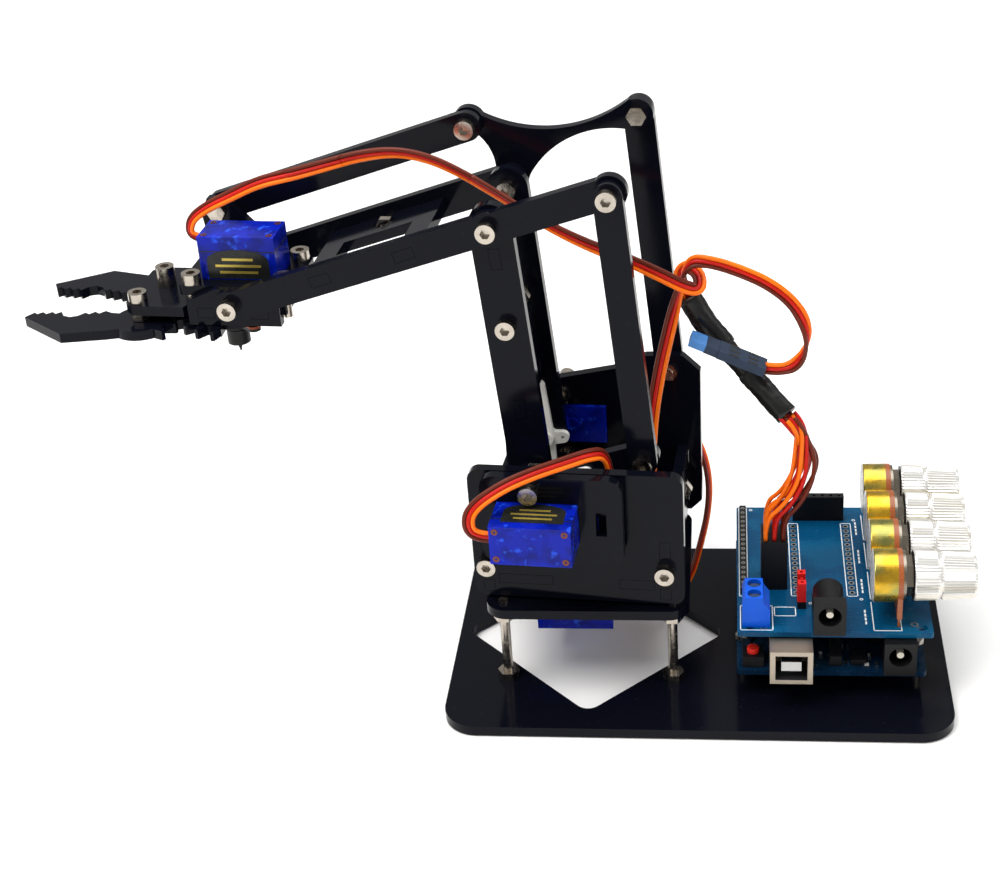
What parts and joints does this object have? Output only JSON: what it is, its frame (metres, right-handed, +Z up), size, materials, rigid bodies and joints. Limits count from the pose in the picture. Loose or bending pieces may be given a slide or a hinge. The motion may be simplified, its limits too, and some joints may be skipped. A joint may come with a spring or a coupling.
{
  "type": "desktop robot arm",
  "caption": "Desktop parallel-link robot arm of laser-cut plates with micro servos and a two-claw gripper, on a base with a controller board and a row of control knobs.",
  "frame": {"origin": "the turntable's axis, on the underside of the base plate", "axes": "+Z up along the turntable's axis, +X along the base towards the controller and knobs, +Y to the far side; at rest the gripper points to -X, turned 4.67 degrees towards +Y"},
  "size_m": [0.2739, 0.0987, 0.1629],
  "materials": {
    "black_acrylic": "polished laser-cut sheet",
    "servo_blue": "translucent moulded case",
    "white_nylon": "moulded",
    "nickel": "nickel plated",
    "board_blue": "solder mask",
    "shield_teal": "solder mask",
    "socket_metal": "tinned shell and black plastic",
    "header_black": "moulded",
    "terminal_blue": "moulded",
    "pot_brass": "zinc-chromated can",
    "knob_clear": "knurled, clear over silver",
    "button_red": "moulded",
    "lead_orange": "three-wire servo lead",
    "sleeve_black": "braided sleeve"
  },
  "bodies": {
    "root": {"base_plate": "black_acrylic", "servo_plate": "black_acrylic", "base_fasteners": "nickel", "base_servo": "servo_blue", "controller_board": "board_blue", "board_sockets": "socket_metal", "controller_parts": "header_black", "shield_board": "shield_teal", "shield_headers": "header_black", "screw_terminal": "terminal_blue", "potentiometers": "pot_brass", "board_leads": "lead_orange", "lead_plugs": "header_black", "base_servo_lead": "lead_orange"},
    "reset_button": {"reset_button": "button_red"},
    "knob_1": {"knob_1": "knob_clear"},
    "knob_2": {"knob_2": "knob_clear"},
    "knob_3": {"knob_3": "knob_clear"},
    "knob_4": {"knob_4": "knob_clear"},
    "turntable": {"floor_plate": "black_acrylic", "near_side_plate": "black_acrylic", "far_side_plate": "black_acrylic", "cross_plates": "black_acrylic", "servo_collars": "black_acrylic", "arm_servos": "servo_blue", "base_horn": "white_nylon", "turntable_fasteners": "nickel", "near_servo_lead": "lead_orange", "lead_sleeve": "sleeve_black", "gripper_lead_drop": "lead_orange"},
    "lower_arm": {"near_lower_arm": "black_acrylic", "far_lower_arm": "black_acrylic", "lower_arm_brace": "black_acrylic", "shoulder_horn": "white_nylon", "lower_arm_fasteners": "nickel", "elbow_screw": "nickel", "gripper_lead_span": "lead_orange"},
    "lever": {"elbow_lever": "black_acrylic", "elbow_horn": "white_nylon"},
    "push_rod_pin": {"push_rod_pin": "nickel"},
    "push_rod": {"push_rod": "black_acrylic"},
    "forearm": {"near_forearm": "black_acrylic", "far_forearm": "black_acrylic", "forearm_brace": "black_acrylic", "forearm_fasteners": "nickel"},
    "gripper": {"wrist_brackets": "black_acrylic", "gripper_plate": "black_acrylic", "gripper_collar": "black_acrylic", "gripper_servo": "servo_blue", "gripper_fasteners": "nickel", "gripper_lead_wrist": "lead_orange"},
    "triangle": {"triangle_link": "black_acrylic", "triangle_fasteners": "nickel", "gripper_lead_elbow": "lead_orange"},
    "upper_link": {"upper_link": "black_acrylic"},
    "rear_link": {"rear_link": "black_acrylic"},
    "gripper_drive": {"drive_gear": "black_acrylic", "gripper_horn": "header_black"},
    "near_jaw": {"near_jaw": "black_acrylic"},
    "far_jaw": {"far_jaw": "black_acrylic"}
  },
  "joints": [
    {"name": "base_yaw", "type": "hinge", "parent": "root", "child": "turntable", "pos_m": [0, 0, 0], "axis": [0, 0, 1], "range_deg": [-85.3, 94.7], "deforming": ["gripper_lead_wrist", "gripper_lead_elbow", "gripper_lead_span", "gripper_lead_drop", "near_servo_lead", "base_servo_lead", "lead_sleeve"]},
    {"name": "shoulder", "type": "hinge", "parent": "turntable", "child": "lower_arm", "pos_m": [-0.01525, 0.00125, 0.0602], "axis": [0.0814, 0.9967, 0], "range_deg": [-30, 25], "deforming": ["gripper_lead_wrist", "gripper_lead_elbow", "gripper_lead_span", "gripper_lead_drop", "near_servo_lead", "base_servo_lead", "lead_sleeve"]},
    {"name": "elbow_lever", "type": "hinge", "parent": "turntable", "child": "lever", "pos_m": [-0.01525, 0.00125, 0.0602], "axis": [0.0814, 0.9967, 0], "range_deg": [-30, 24], "deforming": ["gripper_lead_wrist", "gripper_lead_elbow", "gripper_lead_span", "gripper_lead_drop", "near_servo_lead", "base_servo_lead", "lead_sleeve"]},
    {"name": "push_rod_pin", "type": "hinge", "parent": "lever", "child": "push_rod_pin", "pos_m": [0.01791, -0.00146, 0.07107], "axis": [0.0814, 0.9967, 0], "range_deg": [-24, 30]},
    {"name": "push_rod", "type": "hinge", "parent": "push_rod_pin", "child": "push_rod", "pos_m": [0.01791, -0.00146, 0.07107], "axis": [0.0814, 0.9967, 0], "range_deg": [-30, 25]},
    {"name": "forearm", "type": "hinge", "parent": "triangle", "child": "forearm", "pos_m": [-0.02234, 0.00183, 0.13988], "axis": [0.0814, 0.9967, 0], "range_deg": [-30, 24], "deforming": ["gripper_lead_wrist", "gripper_lead_elbow", "gripper_lead_span", "gripper_lead_drop", "near_servo_lead", "base_servo_lead", "lead_sleeve"]},
    {"name": "wrist", "type": "hinge", "parent": "forearm", "child": "gripper", "pos_m": [-0.09813, 0.00802, 0.11503], "axis": [0.0814, 0.9967, 0], "range_deg": [-24, 30], "deforming": ["gripper_lead_wrist", "gripper_lead_elbow", "gripper_lead_span", "gripper_lead_drop", "near_servo_lead", "base_servo_lead", "lead_sleeve"]},
    {"name": "triangle", "type": "hinge", "parent": "lower_arm", "child": "triangle", "pos_m": [-0.02234, 0.00183, 0.13988], "axis": [0.0814, 0.9967, 0], "range_deg": [-25, 30], "deforming": ["gripper_lead_wrist", "gripper_lead_elbow", "gripper_lead_span", "gripper_lead_drop", "near_servo_lead", "base_servo_lead", "lead_sleeve"]},
    {"name": "upper_link", "type": "hinge", "parent": "triangle", "child": "upper_link", "pos_m": [-0.03415, 0.00279, 0.15588], "axis": [0.0814, 0.9967, 0], "range_deg": [-30, 24]},
    {"name": "rear_link", "type": "hinge", "parent": "turntable", "child": "rear_link", "pos_m": [0.02063, -0.00169, 0.07855], "axis": [0.0814, 0.9967, 0], "range_deg": [-30, 25]},
    {"name": "gripper_drive", "type": "hinge", "parent": "gripper", "child": "gripper_drive", "pos_m": [-0.1029, 0.01643, 0.106], "axis": [0, 0, 1], "range_deg": [-25.5, 8.9]},
    {"name": "near_jaw", "type": "hinge", "parent": "gripper", "child": "near_jaw", "pos_m": [-0.12855, 0.00799, 0.106], "axis": [0, 0, 1], "range_deg": [-14, 40.1]},
    {"name": "far_jaw", "type": "hinge", "parent": "gripper", "child": "far_jaw", "pos_m": [-0.12684, 0.02892, 0.106], "axis": [0, 0, 1], "range_deg": [-40.1, 14]},
    {"name": "reset_press", "type": "slide", "parent": "root", "child": "reset_button", "axis": [0, 0, -1], "range_m": [0, 0.0005], "stiffness_N_per_m": 800, "springref_m": -0.0015},
    {"name": "knob_1", "type": "hinge", "parent": "root", "child": "knob_1", "pos_m": [0.0888, -0.0213, 0.0387], "axis": [1, 0, 0], "range_deg": [-150, 150]},
    {"name": "knob_2", "type": "hinge", "parent": "root", "child": "knob_2", "pos_m": [0.0888, -0.0058, 0.0387], "axis": [1, 0, 0], "range_deg": [-150, 150]},
    {"name": "knob_3", "type": "hinge", "parent": "root", "child": "knob_3", "pos_m": [0.0888, 0.0097, 0.0387], "axis": [1, 0, 0], "range_deg": [-150, 150]},
    {"name": "knob_4", "type": "hinge", "parent": "root", "child": "knob_4", "pos_m": [0.0888, 0.0252, 0.0387], "axis": [1, 0, 0], "range_deg": [-150, 150]}
  ],
  "couplings": [
    {"joint": "push_rod_pin", "follows": "elbow_lever", "ratio": -1},
    {"joint": "push_rod", "follows": "shoulder", "ratio": 1},
    {"joint": "forearm", "follows": "elbow_lever", "ratio": 1},
    {"joint": "wrist", "follows": "elbow_lever", "ratio": -1},
    {"joint": "triangle", "follows": "shoulder", "ratio": -1},
    {"joint": "upper_link", "follows": "elbow_lever", "ratio": 1},
    {"joint": "rear_link", "follows": "shoulder", "ratio": 1},
    {"joint": "near_jaw", "follows": "gripper_drive", "ratio": -1.5714},
    {"joint": "far_jaw", "follows": "gripper_drive", "ratio": 1.5714}
  ]
}
